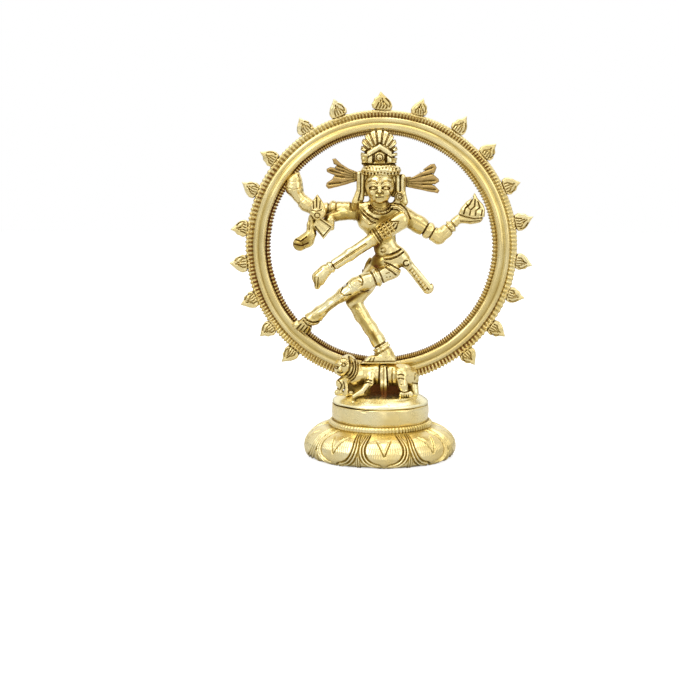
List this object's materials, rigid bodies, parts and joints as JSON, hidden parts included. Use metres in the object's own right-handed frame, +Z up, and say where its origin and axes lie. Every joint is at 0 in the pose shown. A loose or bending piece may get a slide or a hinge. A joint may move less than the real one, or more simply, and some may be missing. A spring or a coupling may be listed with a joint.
{
  "type": "brass nataraja statue",
  "caption": "Small cast brass Nataraja: a four-armed dancer inside a ring of flames, standing on a dwarf, a drum plinth and a lotus base.",
  "frame": {"origin": "middle of the lotus base's flat resting face, which is the middle of the bounding box's bottom", "axes": "+Z up, +X to the right of someone facing the dancer, +Y away from them, through the ring"},
  "size_m": [0.0835, 0.041, 0.1],
  "materials": {
    "base_brass": "buffed cast brass with brown shade left in the carving",
    "ring_brass": "buffed cast brass, bright on the round band, dark between the teeth",
    "flame_brass": "buffed cast brass with dark grooves",
    "figure_brass": "hand-filed and buffed brass, dark in the folds",
    "aged_brass": "unpolished brass, brown and dull"
  },
  "bodies": {
    "root": {"beaded_collar": "base_brass", "blessing_forearm": "figure_brass", "blessing_hand": "figure_brass", "blessing_upper_arm": "figure_brass", "crossing_forearm": "figure_brass", "crossing_hand": "figure_brass", "crossing_upper_arm": "figure_brass", "crown": "figure_brass", "drum_forearm": "figure_brass", "drum_upper_arm": "figure_brass", "dwarf_body": "figure_brass", "dwarf_far_arm": "figure_brass", "dwarf_far_leg": "figure_brass", "dwarf_front_arm": "figure_brass", "dwarf_head": "figure_brass", "dwarf_near_leg": "figure_brass", "flame_01": "flame_brass", "flame_02": "flame_brass", "flame_03": "flame_brass", "flame_04": "flame_brass", "flame_05": "flame_brass", "flame_06": "flame_brass", "flame_07": "flame_brass", "flame_08": "flame_brass", "flame_09": "flame_brass", "flame_10": "flame_brass", "flame_11": "flame_brass", "flame_12": "flame_brass", "flame_13": "flame_brass", "flame_14": "flame_brass", "flame_15": "flame_brass", "flame_16": "flame_brass", "flame_17": "flame_brass", "flame_18": "flame_brass", "flame_19": "flame_brass", "flame_forearm": "figure_brass", "flame_hand": "figure_brass", "flame_ring": "ring_brass", "flame_upper_arm": "figure_brass", "hand_drum": "figure_brass", "head": "figure_brass", "left_hair_fan": "aged_brass", "left_hair_lock": "figure_brass", "lotus_base": "base_brass", "plinth_drum": "base_brass", "plinth_top": "base_brass", "raised_foot": "figure_brass", "raised_shin": "figure_brass", "raised_thigh": "figure_brass", "right_hair_fan": "aged_brass", "right_hair_lock": "figure_brass", "ring_saddle": "aged_brass", "sash_end": "figure_brass", "serpent": "figure_brass", "standing_foot": "figure_brass", "standing_shin": "figure_brass", "standing_thigh": "figure_brass", "torso": "figure_brass", "waistcloth": "figure_brass"}
  },
  "joints": []
}
